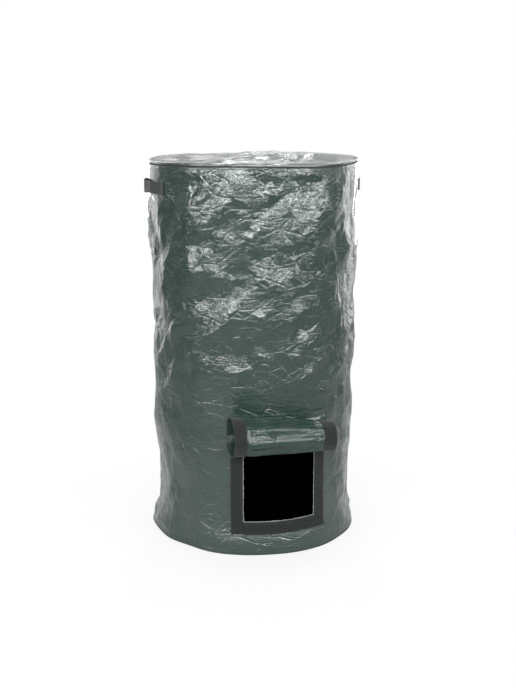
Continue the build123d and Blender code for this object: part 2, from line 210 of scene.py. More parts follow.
def crinkled_weave():
    group = bpy.data.node_groups.new("crinkled weave", "ShaderNodeTree")
    for name, kind in (
            ("Vector", "NodeSocketVector"), ("Tape", "NodeSocketFloat"), ("Streak", "NodeSocketFloat")):
        group.interface.new_socket(name, in_out="INPUT", socket_type=kind)
    for name, kind in (("Normal", "NodeSocketVector"), ("Mottle", "NodeSocketFloat")):
        group.interface.new_socket(name, in_out="OUTPUT", socket_type=kind)
    nodes, link = group.nodes, group.links.new
    inward, outward = nodes.new("NodeGroupInput"), nodes.new("NodeGroupOutput")

    def math(operation, a, b=None):
        node = nodes.new("ShaderNodeMath")
        node.operation = operation
        for socket, value in zip(node.inputs, (a, b)):
            if value is None:
                continue
            if isinstance(value, (int, float)):
                socket.default_value = value
            else:
                link(value, socket)
        return node.outputs[0]

    tapes = nodes.new("ShaderNodeVectorMath")
    tapes.operation = "SCALE"
    link(inward.outputs["Vector"], tapes.inputs[0])
    link(math("DIVIDE", 1.0, inward.outputs["Tape"]), tapes.inputs["Scale"])
    axes = nodes.new("ShaderNodeSeparateXYZ")
    link(tapes.outputs[0], axes.inputs[0])
    checks = nodes.new("ShaderNodeTexChecker")
    checks.inputs["Scale"].default_value = 1.0
    link(tapes.outputs[0], checks.inputs["Vector"])
    across = math("ABSOLUTE", math("SINE", math("MULTIPLY", axes.outputs["X"], pi)))
    along = math("ABSOLUTE", math("SINE", math("MULTIPLY", axes.outputs["Y"], pi)))
    weave = nodes.new("ShaderNodeMix")
    link(checks.outputs["Fac"], weave.inputs["Factor"])
    link(across, weave.inputs["A"])
    link(along, weave.inputs["B"])

    def noisy(scale, detail, vector):
        node = nodes.new("ShaderNodeTexNoise")
        node.inputs["Scale"].default_value = scale
        node.inputs["Detail"].default_value = detail
        link(vector, node.inputs["Vector"])
        return node

    def stretched(scale, vector):
        node = nodes.new("ShaderNodeMapping")
        node.inputs["Scale"].default_value = scale
        link(vector, node.inputs["Vector"])
        return node.outputs[0]

    def ranged(value, low, high):
        node = nodes.new("ShaderNodeMapRange")
        node.inputs["From Min"].default_value = low
        node.inputs["From Max"].default_value = high
        link(value, node.inputs["Value"])
        return node.outputs["Result"]

    def bumped(height, strength, distance, normal=None):
        node = nodes.new("ShaderNodeBump")
        if isinstance(strength, float):
            node.inputs["Strength"].default_value = strength
        else:
            link(strength, node.inputs["Strength"])
        node.inputs["Distance"].default_value = distance
        link(height, node.inputs["Height"])
        if normal:
            link(normal, node.inputs["Normal"])
        return node.outputs["Normal"]

    plain = inward.outputs["Vector"]
    warp = nodes.new("ShaderNodeVectorMath")
    warp.operation = "MULTIPLY_ADD"
    warp.inputs[1].default_value = (0.008, 0.008, 0)
    link(noisy(30.0, 2.0, plain).outputs["Color"], warp.inputs[0])
    link(plain, warp.inputs[2])

    def folded(across, up, turn, width, spread):
        lay = nodes.new("ShaderNodeMapping")
        lay.vector_type = "TEXTURE"
        lay.inputs["Rotation"].default_value = (0, 0, radians(turn))
        lay.inputs["Scale"].default_value = (across, up, 1)
        link(warp.outputs[0], lay.inputs["Vector"])
        cells = nodes.new("ShaderNodeTexVoronoi")
        cells.voronoi_dimensions = "2D"
        cells.feature = "DISTANCE_TO_EDGE"
        cells.inputs["Scale"].default_value = 1.0
        link(lay.outputs[0], cells.inputs["Vector"])
        patchy = ranged(noisy(spread, 1.0, warp.outputs[0]).outputs["Fac"], 0.43, 0.59)
        return math("MULTIPLY", ranged(cells.outputs["Distance"], 0.0, width), patchy)

    cloud = noisy(26.0, 5.0, plain).outputs["Fac"]
    streaks = noisy(1.0, 2.0, stretched((45, 240, 1), plain)).outputs["Fac"]
    grain = noisy(380.0, 1.5, plain).outputs["Fac"]
    normal = bumped(weave.outputs["Result"], 0.35, 0.00035)
    normal = bumped(grain, 0.55, 0.0008, normal)
    normal = bumped(streaks, inward.outputs["Streak"], 0.0016, normal)
    normal = bumped(folded(0.027, 0.018, 0, 0.12, 17.0), 0.6, 0.0008, normal)
    normal = bumped(folded(0.115, 0.034, 35, 0.07, 14.0), 0.35, 0.0009, normal)
    normal = bumped(folded(0.085, 0.055, 0, 0.05, 13.0), 0.4, 0.0014, normal)
    link(normal, outward.inputs["Normal"])
    link(cloud, outward.inputs["Mottle"])
    return group


weave_group = crinkled_weave()


def sheet_material(name, tone, shine, streak=0.32):
    material = bpy.data.materials.new(name)
    material.use_nodes = True
    nodes, link = material.node_tree.nodes, material.node_tree.links.new
    surface = nodes["Principled BSDF"]
    uv = nodes.new("ShaderNodeUVMap")
    weave = nodes.new("ShaderNodeGroup")
    weave.node_tree = weave_group
    weave.inputs["Tape"].default_value = 0.0024
    weave.inputs["Streak"].default_value = streak
    link(uv.outputs["UV"], weave.inputs["Vector"])

    def blended(first, second, factor):
        node = nodes.new("ShaderNodeMix")
        node.data_type = "RGBA"
        for socket, value in (("A", first), ("B", second)):
            if isinstance(value, tuple):
                node.inputs[socket].default_value = value
            else:
                link(value, node.inputs[socket])
        link(factor, node.inputs["Factor"])
        return node.outputs["Result"]

    dark = (0.0076 * tone, 0.019 * tone, 0.0149 * tone, 1)
    light = (0.0144 * tone, 0.031 * tone, 0.0248 * tone, 1)
    green = blended(dark, light, weave.outputs["Mottle"])
    edge = nodes.new("ShaderNodeAttribute")
    edge.attribute_name = "raw_edge"
    frayed = nodes.new("ShaderNodeMapRange")
    frayed.inputs["From Min"].default_value = 0.88
    frayed.inputs["From Max"].default_value = 0.95
    link(edge.outputs["Fac"], frayed.inputs["Value"])
    cut = blended(green, (0.17, 0.18, 0.175, 1), frayed.outputs["Result"])
    link(cut, surface.inputs["Base Color"])
    surface.inputs["Specular IOR Level"].default_value = shine
    rough = nodes.new("ShaderNodeMapRange")
    rough.inputs["To Min"].default_value = 0.06
    rough.inputs["To Max"].default_value = 0.16
    link(weave.outputs["Mottle"], rough.inputs["Value"])
    link(rough.outputs["Result"], surface.inputs["Roughness"])
    link(weave.outputs["Normal"], surface.inputs["Normal"])
    return material


green_sheet = sheet_material("green sheet", tone=1.0, shine=0.8)
# Painted shade: a near-black copy of the green sheet on the inner faces of the wall and the base, standing in
# for the dark inside of the bag.
inside_shade_sheet = sheet_material("inside painted shade", tone=0.04, shine=0.02)


def thicken(piece, face, back, thickness, crease=60):
    piece.data.materials.append(face)
    piece.data.materials.append(back)
    bpy.ops.object.modifier_add(type="SOLIDIFY")
    solid = piece.modifiers["Solidify"]
    solid.thickness = thickness
    solid.offset = -1
    solid.material_offset = 1
    bpy.ops.object.modifier_apply(modifier="Solidify")
    bpy.ops.object.shade_smooth_by_angle(angle=radians(crease))


# The inner face of the wall takes the painted shade.
thicken(wall, green_sheet, inside_shade_sheet, sheet_thick, crease=5)
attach(wall, "bag")
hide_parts("side_wall")

# Base: a round of the same sheet that lies on the ground and is sewn to the turned-out hem.
base_radius, base_height, disc_plan = 0.2248, 0.0014, 0.46


def on_disc(u, v):
    x, y = 2 * u, 2 * v
    if x == 0 and y == 0:
        return 0.0, 0.0
    if abs(x) > abs(y):
        return abs(x), (0 if x > 0 else pi) + pi / 4 * y / x
    return abs(y), (pi / 2 if y > 0 else -pi / 2) - pi / 4 * x / y


base_facets = crushed(disc_plan, disc_plan, across=0.05, up=0.045, depth=0.0005, seed=21)
base = new_grid("base_sheet", 64, 64, 2 * base_radius, 2 * base_radius)
for vertex in base.data.vertices:
    share, turn = on_disc(vertex.co.x, vertex.co.y)
    r = share * (base_radius + hem_wave(turn + pi / 2) * share ** 3)
    x, y = r * cos(turn), r * sin(turn)
    vertex.co = (x, y, base_height + base_facets(x, y + disc_plan / 2) * (1 - share ** 4))
# The upper face of the base, inside the bag, takes the painted shade.
thicken(base, inside_shade_sheet, green_sheet, sheet_thick)
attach(base, "bag")
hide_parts("base_panel")

# Seams of the bag: dark polyester thread in lockstitch, one row round the hem, one under the zip
# and two down the lap at the back. Each stitch is one short rounded lump of thread.
upright, stitch_step = Vector((0, 0, 1)), 0.006
hem_count, hem_seam, hem_height = 236, 0.2229, 0.0024
rim_count, rim_start, rim_step, rim_seam, rim_lift = 220, 0.6465, 0.0059, 0.7824, 0.0004
back_count, back_low, back_aside, back_lift = 124, 0.010, 0.006, 0.0010
bpy.ops.object.select_all(action="DESELECT")
bpy.ops.mesh.primitive_uv_sphere_add(segments=6, ring_count=4, radius=1)
stitch = bpy.context.object
stitch_shape = [v.co.copy() for v in stitch.data.vertices]
stitch_faces = [tuple(f.vertices) for f in stitch.data.polygons]
bpy.ops.object.delete()


def thread_material():
    material = bpy.data.materials.new("thread")
    material.use_nodes = True
    nodes, link = material.node_tree.nodes, material.node_tree.links.new
    place = nodes.new("ShaderNodeTexCoord")
    fuzz = nodes.new("ShaderNodeTexNoise")
    fuzz.inputs["Scale"].default_value = 2500.0
    link(place.outputs["Object"], fuzz.inputs["Vector"])
    colour = nodes.new("ShaderNodeMix")
    colour.data_type = "RGBA"
    colour.inputs["A"].default_value = (0.012, 0.016, 0.015, 1)
    colour.inputs["B"].default_value = (0.045, 0.055, 0.052, 1)
    link(fuzz.outputs["Fac"], colour.inputs["Factor"])
    link(colour.outputs["Result"], nodes["Principled BSDF"].inputs["Base Color"])
    nodes["Principled BSDF"].inputs["Roughness"].default_value = 0.7
    return material


thread = thread_material()


def sew(name, places, length=0.0036, width=0.0007):
    points, faces = [], []
    for point, along, out in places:
        across = out.cross(along)
        for corner in stitch_shape:
            place = point + along * corner.x * length / 2 + across * corner.y * width / 2
            points.append(place + out * corner.z * width / 2)
        first = len(points) - len(stitch_shape)
        faces += [tuple(first + index for index in face) for face in stitch_faces]
    mesh = bpy.data.meshes.new(name)
    mesh.from_pydata(points, [], faces)
    piece = bpy.data.objects.new(name, mesh)
    bpy.context.collection.objects.link(piece)
    bpy.ops.object.select_all(action="DESELECT")
    piece.select_set(True)
    bpy.context.view_layer.objects.active = piece
    bpy.ops.object.shade_smooth()
    mesh.materials.append(thread)
    return piece


def round_ways(angle):
    return Vector((cos(angle), sin(angle), 0)), Vector((sin(angle), -cos(angle), 0))


def round_wall(s, z, lift):
    angle = s / wall_radius
    r = wall_line(z) + lift
    along, out = round_ways(angle)
    return Vector((r * sin(angle), -r * cos(angle), z)), along, out


hem_row = []
for n in range(hem_count):
    angle = 2 * pi * n / hem_count
    along, out = round_ways(angle)
    hem_row.append((out * (hem_seam + hem_wave(angle)) + upright * hem_height, along, upright))
hem_thread = sew("hem_stitches", hem_row)
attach(hem_thread, "bag")
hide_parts("base_seam_thread")
rim_row = []
for n in range(rim_count):
    s = rim_step * n - rim_start
    point, along, out = round_wall(s, rim_seam, rim_lift)
    rim_row.append((point + upright * rim_wave(s / wall_radius), along, out))
rim_thread = sew("rim_stitches", rim_row)
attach(rim_thread, "bag")
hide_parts("rim_seam_thread")
back_rows = []
for s in (pi * wall_radius - back_aside, pi * wall_radius + back_aside):
    for n in range(back_count):
        point, along, out = round_wall(s, back_low + stitch_step * n, back_lift)
        back_rows.append((point, upright, out))
back_thread = sew("back_stitches", back_rows)
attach(back_thread, "bag")
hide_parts("back_seam_thread")

# Zip: two rows of black nylon coil that mesh round the rim, on woven tapes sewn inside the wall and
# under the lid, with moulded end stops, a black painted slider and its pull.
coil_radius, tooth_pitch, tooth_length, tooth_width = 0.2185, 0.0016, 0.0036, 0.0015


def grained_material(name, dark, light, roughness, scale, metallic=0.0):
    material = bpy.data.materials.new(name)
    material.use_nodes = True
    nodes, link = material.node_tree.nodes, material.node_tree.links.new
    surface = nodes["Principled BSDF"]
    place = nodes.new("ShaderNodeTexCoord")
    grain = nodes.new("ShaderNodeTexNoise")
    grain.inputs["Scale"].default_value = scale
    grain.inputs["Detail"].default_value = 3.0
    link(place.outputs["Object"], grain.inputs["Vector"])
    colour = nodes.new("ShaderNodeMix")
    colour.data_type = "RGBA"
    colour.inputs["A"].default_value = dark
    colour.inputs["B"].default_value = light
    link(grain.outputs["Fac"], colour.inputs["Factor"])
    link(colour.outputs["Result"], surface.inputs["Base Color"])
    rough = nodes.new("ShaderNodeMapRange")
    rough.inputs["To Min"].default_value = roughness - 0.1
    rough.inputs["To Max"].default_value = roughness + 0.1
    link(grain.outputs["Fac"], rough.inputs["Value"])
    link(rough.outputs["Result"], surface.inputs["Roughness"])
    surface.inputs["Metallic"].default_value = metallic
    bump = nodes.new("ShaderNodeBump")
    bump.inputs["Strength"].default_value = 0.3
    bump.inputs["Distance"].default_value = 0.0003
    link(grain.outputs["Fac"], bump.inputs["Height"])
    link(bump.outputs["Normal"], surface.inputs["Normal"])
    return material


nylon = grained_material("zip nylon", (0.004, 0.004, 0.005, 1), (0.018, 0.019, 0.02, 1), 0.4, 900)
tape_cloth = grained_material("zip tape", (0.004, 0.005, 0.005, 1), (0.016, 0.018, 0.018, 1), 0.8, 1400)
zip_metal = grained_material("zip metal", (0.015, 0.015, 0.016, 1), (0.05, 0.05, 0.052, 1), 0.35, 400, 0.7)
for node, finish in (
        ("rim_zip_tape", tape_cloth), ("lid_zip_tape", tape_cloth), ("zip_end_stops", nylon),
        ("zip_slider", zip_metal), ("zip_pull", zip_metal)):
    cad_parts[node].data.materials.clear()
    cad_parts[node].data.materials.append(finish)


def coil_row(name, z, span, shift):
    count = int(radians(span) * coil_radius / tooth_pitch)
    teeth = []
    for n in range(count):
        angle = radians(-span / 2) + (n + shift) * tooth_pitch / coil_radius
        along, out = round_ways(angle)
        teeth.append((out * coil_radius + upright * (z + rim_wave(angle)), upright, out))
    piece = sew(name, teeth, tooth_length, tooth_width)
    piece.data.materials[0] = nylon
    return piece


rim_coil = coil_row("rim_coil", z=0.7910, span=335.0, shift=0.0)
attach(rim_coil, "bag")
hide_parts("rim_zip_coil")
lid_coil = coil_row("lid_coil", z=0.7938, span=323.5, shift=0.5)
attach(lid_coil, "lid")
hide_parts("lid_zip_coil")

# Lid: a round of the same sheet, slack enough to stand up in peaks and fall in a valley, with its
# edge turned down over the upper zip tape. It is sewn to the wall by a fabric hinge at the back.
lid_radius, lid_skirt, lid_height, lid_dome = 0.2206, 0.0048, 0.7995, 0.0020
lid_reach = lid_radius + lid_skirt
fold_x, fold_y, fold_depth, fold_start = -0.07, -0.10, 0.0070, 0.14
edge_dip, skirt_flare = 0.010, 0.10
lid_big = crushed(disc_plan, disc_plan, across=0.075, up=0.065, depth=0.0052, seed=8, known=(
    (-0.110, 0.055, -0.004), (-0.080, 0.210, -0.006), (-0.040, 0.330, -0.006), (-0.015, 0.410, -0.005),
    (-0.140, 0.270, 0.005), (-0.120, 0.340, 0.006), (0.020, 0.340, 0.008), (0.100, 0.310, 0.010),
    (0.140, 0.230, 0.008), (0.010, 0.120, -0.002)))
lid_folds = crushed(disc_plan, disc_plan, across=0.042, up=0.036, depth=0.0044, seed=14)
lid_fine = crushed(disc_plan, disc_plan, across=0.020, up=0.017, depth=0.0008, seed=15)
lid = new_grid("lid_sheet", 132, 132, 2 * lid_reach, 2 * lid_reach)
for vertex in lid.data.vertices:
    share, turn = on_disc(vertex.co.x, vertex.co.y)
    front = abs((degrees(turn) + 90 + 180) % 360 - 180)
    skirt = lid_skirt * between(front, ((150, 1.0), (160, 0.0)))
    run = share * (lid_radius + skirt)
    r = min(run, lid_radius)
    x, y = r * cos(turn), r * sin(turn)
    inside = 1 - (r / lid_radius) ** 2
    slack = (1 - (r / lid_radius) ** 8) * (0.35 + 0.65 * inside ** 0.5)
    laid = y + disc_plan / 2
    z = lid_height + lid_dome * inside
    z += slack * (lid_big(x, laid) + lid_folds(x, laid) + lid_fine(x, laid))
    fold, reach = atan2(y - fold_y, x - fold_x), hypot(x - fold_x, y - fold_y)
    ripple = noise.noise(Vector((2.4 * cos(fold), 2.4 * sin(fold), 5 * reach)))
    z -= slack * fold_depth * min(reach / fold_start, 1) * abs(ripple)
    z = max(z, lid_height - edge_dip * between(r, ((0.188, 1.0), (0.203, 0.0))))
    over = max(run - lid_radius, 0)
    flare = skirt_flare * over
    drop = over - rim_wave(turn + pi / 2) * (r / lid_radius) ** 6
    vertex.co = (x + flare * cos(turn), y + flare * sin(turn), z - drop)
lid_face = sheet_material("lid sheet", tone=1.0, shine=0.8, streak=0.10)
# Painted shade: the underside of the lid is a darker copy of the green sheet, standing in for the shade
# inside the bag.
lid_underside_shade = sheet_material("lid underside painted shade", tone=0.2, shine=0.1)
thicken(lid, lid_face, lid_underside_shade, sheet_thick, crease=7)
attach(lid, "lid")
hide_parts("lid_panel")
lid_count, lid_seam, lid_seam_lift = 206, 0.2135, 0.0010
lid_row = []
for n in range(lid_count):
    angle = radians(-150) + radians(300) * n / (lid_count - 1)
    along, out = round_ways(angle)
    height = lid_height + lid_seam_lift + rim_wave(angle)
    lid_row.append((out * lid_seam + upright * height, along, upright))
lid_thread = sew("lid_stitches", lid_row)
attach(lid_thread, "lid")
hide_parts("lid_seam_thread")

# Lid hinge: a strip of the sheet sewn flat to the back of the wall, that turns in over the rim
# and is sewn again under the lid, so that the lid folds back on it.
hinge_half, hinge_low, hinge_high, hinge_in = 0.037, 0.7564, 0.7978, 0.027
hinge_bend, hinge_lift, hinge_cloth = 0.0020, 0.0016, 0.07
hinge_run = hinge_high - hinge_low + hinge_in
hinge_folds = crushed(0.09, 0.09, across=0.016, up=0.012, depth=0.0009, seed=41)
hinge = new_grid("lid_hinge", 30, 44, 2 * hinge_half, hinge_cloth)
for vertex in hinge.data.vertices:
    s = pi * wall_radius + vertex.co.x * 2 * hinge_half
    run = (vertex.co.y + 0.5) * hinge_run
    rise = min(run, hinge_high - hinge_low - hinge_bend)
    turn = min(max(run - rise, 0) / hinge_bend, pi / 2)
    reach = max(run - rise - hinge_bend * pi / 2, 0)
    lift = hinge_lift + hinge_folds(vertex.co.x * hinge_cloth, run)
    point, along, out = round_wall(s, hinge_low + rise, lift)
    point -= out * (hinge_bend * (1 - cos(turn)) + reach)
    point.z += hinge_bend * sin(turn)
    vertex.co = point
dull_sheet = sheet_material("worn green sheet", tone=1.0, shine=0.4)
thicken(hinge, green_sheet, dull_sheet, sheet_thick, crease=12)
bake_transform(hinge)
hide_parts("hinge_strip", "lid_hinge_tab")

# Door tapes: black loop tape 25 mm wide, sewn flat to the wall down both sides of the opening and
# along its foot. The left one runs past the foot, as in the photograph.
tape_width, tape_inner, tape_thick, tape_lift = 0.025, 0.0809, 0.0013, 0.0016
tape_foot, tape_head, tape_gap, tape_sway = 0.044, 0.284, 0.0005, 0.0008
seam_inset, door_seam_lift = 0.003, 0.0018


def pile_material():
    material = bpy.data.materials.new("hook and loop")
    material.use_nodes = True
    nodes, link = material.node_tree.nodes, material.node_tree.links.new
    surface = nodes["Principled BSDF"]
    place = nodes.new("ShaderNodeTexCoord")
    pile = nodes.new("ShaderNodeTexVoronoi")
    pile.inputs["Scale"].default_value = 900.0
    link(place.outputs["Object"], pile.inputs["Vector"])
    cloud = nodes.new("ShaderNodeTexNoise")
    cloud.inputs["Scale"].default_value = 120.0
    cloud.inputs["Detail"].default_value = 4.0
    link(place.outputs["Object"], cloud.inputs["Vector"])
    colour = nodes.new("ShaderNodeMix")
    colour.data_type = "RGBA"
    colour.inputs["A"].default_value = (0.004, 0.005, 0.005, 1)
    colour.inputs["B"].default_value = (0.013, 0.015, 0.015, 1)
    link(cloud.outputs["Fac"], colour.inputs["Factor"])
    link(colour.outputs["Result"], surface.inputs["Base Color"])
    surface.inputs["Roughness"].default_value = 0.85
    surface.inputs["Specular IOR Level"].default_value = 0.2
    surface.inputs["Sheen Weight"].default_value = 0.08
    bump = nodes.new("ShaderNodeBump")
    bump.inputs["Strength"].default_value = 0.6
    bump.inputs["Distance"].default_value = 0.0008
    link(pile.outputs["Distance"], bump.inputs["Height"])
    link(bump.outputs["Normal"], surface.inputs["Normal"])
    return material


pile = pile_material()


def stiffen(piece, material, thickness, offset, rounding):
    bpy.ops.object.modifier_add(type="SOLIDIFY")
    piece.modifiers["Solidify"].thickness = thickness
    piece.modifiers["Solidify"].offset = offset
    bpy.ops.object.modifier_apply(modifier="Solidify")
    bpy.ops.object.modifier_add(type="BEVEL")
    piece.modifiers["Bevel"].width = rounding
    piece.modifiers["Bevel"].segments = 2
    bpy.ops.object.modifier_apply(modifier="Bevel")
    bpy.ops.object.shade_smooth_by_angle(angle=radians(50))
    piece.data.materials.append(material)


def wall_tape(name, left, right, low, high):
    cells_across = max(int((right - left) / 0.003), 4)
    cells_up = max(int((high - low) / 0.004), 4)
    tape = new_grid(name, cells_across, cells_up, right - left, high - low)
    for vertex in tape.data.vertices:
        s = left + (vertex.co.x + 0.5) * (right - left)
        z = low + (vertex.co.y + 0.5) * (high - low)
        s += tape_sway * noise.noise(Vector((z * 30, left * 50, 2)))
        z += tape_sway * noise.noise(Vector((s * 30, low * 50, 7)))
        nap = 0.0002 * noise.noise(Vector((s * 200, z * 200, 0)))
        vertex.co = round_wall(s, z, crumple(s, z) + tape_lift + nap)[0]
    stiffen(tape, pile, tape_thick, offset=-1, rounding=0.0004)
    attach(tape, "bag")
    return tape


left_tape = wall_tape("door_tape_left", -tape_inner - tape_width, -tape_inner, tape_foot, tape_head)
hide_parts("door_loop_left")
right_tape = wall_tape("door_tape_right", tape_inner, tape_inner + tape_width, 0.0695, tape_head)
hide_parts("door_loop_right")
foot_tape = wall_tape("door_tape_foot", -tape_inner + tape_gap, tape_inner + tape_width, tape_foot, 0.069)
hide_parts("door_loop_bottom")
door_rows = []
for side in (-1, 1):
    for edge in (tape_inner + seam_inset, tape_inner + tape_width - seam_inset):
        for n in range(36 if side > 0 else 40):
            z = 0.280 - stitch_step * n
            point, along, out = round_wall(side * edge, z, door_seam_lift + crumple(side * edge, z))
            door_rows.append((point, upright, out))
for z in (0.047, 0.066):
    for n in range(30):
        s = -tape_inner + 0.004 + stitch_step * n
        door_rows.append(round_wall(s, z, door_seam_lift + crumple(s, z)))
door_thread = sew("door_stitches", door_rows)
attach(door_thread, "bag")
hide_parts("door_seam_thread")

# Frayed edge: the ends of the woven tapes that stand out of the raw edge of the door opening, where
# the sheet was cut and the pale core of each tape shows.
end_count, sill_ends, fray_top = 210, 70, 0.262
random.seed(17)
frayed_ends = []
for n in range(end_count):
    away = random.uniform(-0.0004, 0.0010)
    if n < sill_ends:
        s, z, lay = random.uniform(-door_half, door_half), door_low + away, 0.0
    else:
        s = (door_half - away) * (1 if n % 2 else -1)
        z, lay = random.uniform(door_low, fray_top), pi / 2
    lay += random.uniform(-0.3, 0.3)
    point, along, out = round_wall(s, z, crumple(s, z) + random.uniform(-0.0006, 0.0004))
    frayed_ends.append((point, along * cos(lay) + upright * sin(lay), out))
frayed = sew("door_frayed_edge", frayed_ends, length=0.0044, width=0.0008)
cut_ends = grained_material("cut tape ends", (0.05, 0.06, 0.055, 1), (0.30, 0.32, 0.31, 1), 0.6, 300)
frayed.data.materials[0] = cut_ends
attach(frayed, "bag")

# Door flap: a sheet sewn above the opening and rolled up outwards, a little fuller at its left end.
# Black hook tape runs down both sides and along the bottom edge; it lies on the outside of the roll.
# Between the tapes each turn is bent so that it hangs straight once the flap is unrolled.
flap_half, flap_plane, seam_low, seam_high = 0.106, -0.2238, 0.288, 0.300
head_length, web_middle, flap_lift, flap_columns = 0.029, 0.271, 0.0020, 66
panel_fold, first_panel, panel_step = 50, 0.033, 0.001
y, z = flap_plane, 0.254
roll_corners = [Vector((0, y, z))]
for n in range(7):
    lean = radians(panel_fold * (n + 1))
    y -= (first_panel - panel_step * n) * sin(lean)
    z -= (first_panel - panel_step * n) * cos(lean)
    roll_corners.append(Vector((0, round(y, 5), round(z, 5))))
roll_middles = [(a + b) / 2 for a, b in zip(roll_corners, roll_corners[1:])]
roll_centre, web_drop, knee_hold = Vector((0, -0.2612, 0.2680)), 0.034, 1.2
roll_full, roll_taper, roll_rise, roll_tilt, roll_shift = 1.03, 0.14, 0.001, 0.007, 0.011
settle_steps, snug_share = 15, 0.85
flap_folds = crushed(0.24, 0.30, across=0.030, up=0.024, depth=0.0011, seed=31)
flap_fine = crushed(0.24, 0.30, across=0.013, up=0.011, depth=0.0004, seed=32)


def flap_crush(x, run):
    return (flap_folds(x, run) + flap_fine(x, run)) * between(abs(x), ((0.070, 1.0), (0.084, 0.25)))


def on_web(x, down):
    point = round_wall(x, seam_low - down * web_drop, flap_lift)[0]
    bent = down * down * (3 - 2 * down)
    return point.lerp(Vector((x, flap_plane, point.z)), bent)


def loosened(point, x, share):
    full = roll_full - roll_taper * x / flap_half
    moved = roll_centre + (Vector((0, point.y, point.z)) - roll_centre) * full
    moved.z += roll_rise - roll_tilt * x / flap_half
    moved.x = point.x - roll_shift
    return point.lerp(moved, share)


def heading(turn):
    if turn == 0:
        return -1j
    way = roll_corners[turn] - roll_corners[turn - 1]
    return complex(way.y, way.z) / way.length


def turn_start(turn):
    return roll_middles[turn - 1] if turn else Vector((0, flap_plane, web_middle))


def turn_length(turn):
    corner = roll_corners[turn]
    return (corner - turn_start(turn)).length + (roll_middles[turn] - corner).length


def on_round(turn, x, u, lift):
    aside = Vector((x, 0, 0))
    start = roll_middles[turn - 1] + aside if turn else on_web(x, 0.5)
    knee, end = roll_corners[turn] + aside, roll_middles[turn] + aside
    pull, hold, leave = (1 - u) ** 2, 2 * knee_hold * u * (1 - u), u * u
    way = (knee - start) * (1 - u) + (end - knee) * u
    out = Vector((0, -way.z, way.y)).normalized()
    return (start * pull + knee * hold + end * leave) / (pull + hold + leave) + out * lift


def on_roll(turn, x, u, lift):
    start, corner, end = turn_start(turn), roll_corners[turn], roll_middles[turn]
    past = u * turn_length(turn) - (corner - start).length
    hanging = past * heading(turn)
    if turn == 0 and past < 0:
        web = on_web(x, 1 + past / web_drop) - corner
        hanging = complex(web.y, web.z)
    hanging += lift * 1j * heading(turn)
    share = u * u * (3 - 2 * u) if turn == 0 else 1.0
    weight = 0.5
    for _ in range(settle_steps):
        rolled = hanging / (1 + weight * (heading(turn) / heading(turn + 1) - 1))
        point = Vector((x, corner.y + rolled.real, corner.z + rolled.imag))
        shown = loosened(point, x, share)
        t = min(max((shown - start).dot(end - start) / (end - start).length_squared, 0), 1)
        weight = t * t * (3 - 2 * t)
    snug = snug_share * between(abs(x), ((0.066, 0.0), (0.088, 1.0)))
    return loosened(point.lerp(on_round(turn, x, u, lift), snug), x, share)


head = new_grid("flap_head", flap_columns, 16, 2 * flap_half, head_length)
for vertex in head.data.vertices:
    x = vertex.co.x * 2 * flap_half
    run = (0.5 - vertex.co.y) * head_length
    down = max(run - (seam_high - seam_low), 0) / web_drop
    vertex.co = on_web(x, down) if down > 0 else round_wall(x, seam_high - run, flap_lift)[0]
thicken(head, green_sheet, dull_sheet, sheet_thick)
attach(head, "bag")
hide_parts("flap_panel_1")
head_row = [round_wall(stitch_step * n - 0.102, 0.294, 0.0024) for n in range(35)]
head_thread = sew("flap_stitches", head_row)
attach(head_thread, "bag")
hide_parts("flap_seam_thread")

hook_inner, hook_thick, hook_lift = 0.081, 0.0010, 0.0012
laid_start, laid_step, laid_tail = 0.017, 0.030, 0.23
for turn in range(7):
    length = turn_length(turn)
    done = laid_start + laid_step * turn
    part = new_grid(f"flap_turn_{turn + 1}", flap_columns, 20, 2 * flap_half, length, done)
    for vertex in part.data.vertices:
        x, u = vertex.co.x * 2 * flap_half, vertex.co.y + 0.5
        vertex.co = on_roll(turn, x, u, flap_crush(x, done + u * length))
    thicken(part, dull_sheet, green_sheet, sheet_thick)
    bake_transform(part)
    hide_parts(f"flap_panel_{turn + 2}")
    for side, word in ((-1, "left"), (1, "right")):
        low = 0.5 if turn == 0 else 0.0
        hook = new_grid(f"flap_hook_turn_{turn + 1}_{word}", 8, 20, tape_width, length, done)
        for vertex in hook.data.vertices:
            x = side * (hook_inner + (vertex.co.x * side + 0.5) * (flap_half - hook_inner))
            vertex.co = on_roll(turn, x, low + (1 - low) * (vertex.co.y + 0.5), hook_lift)
        thicken(hook, pile, pile, hook_thick)
        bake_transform(hook)
        if side > 0:
            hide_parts(f"flap_hook_{turn + 2}")

tail_length, tail_curl = (roll_corners[7] - roll_middles[6]).length, 0.0022


def on_tail(x, u, lift):
    point = roll_middles[6].lerp(roll_corners[7], u) + Vector((x, 0, 0))
    way = roll_corners[7] - roll_middles[6]
    out = Vector((0, -way.z, way.y)).normalized()
    return loosened(point, x, 1.0) + out * (lift - tail_curl * u)


tail = new_grid("flap_tail", flap_columns, 8, 2 * flap_half, tail_length, laid_tail)
for vertex in tail.data.vertices:
    vertex.co = on_tail(vertex.co.x * 2 * flap_half, vertex.co.y + 0.5, 0)
thicken(tail, dull_sheet, green_sheet, sheet_thick)
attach(tail, "flap_8")
for name, left, right in (
        ("flap_hook_tail_left", -flap_half, -hook_inner), ("flap_hook_tail_right", hook_inner, flap_half),
        ("flap_hook_edge", -hook_inner + tape_gap, hook_inner - tape_gap)):
    hook = new_grid(name, 24, 6, right - left, tail_length)
    for vertex in hook.data.vertices:
        x = left + (vertex.co.x + 0.5) * (right - left)
        vertex.co = on_tail(x, vertex.co.y + 0.5, hook_lift)
    thicken(hook, pile, pile, hook_thick)
    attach(hook, "flap_8")
    if name == "flap_hook_edge":
        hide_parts("flap_hook_bottom")

# Handles: a length of 25 mm polypropylene webbing on each side, sewn down at both ends, with the
# middle left to stand off the wall as a loop for the hand.
strap_low, strap_high, strap_thick, strap_lift = 0.7355, 0.7605, 0.0016, 0.0012
tab_out, tab_in, bow_reach = 0.0809, 0.0570, 0.0090


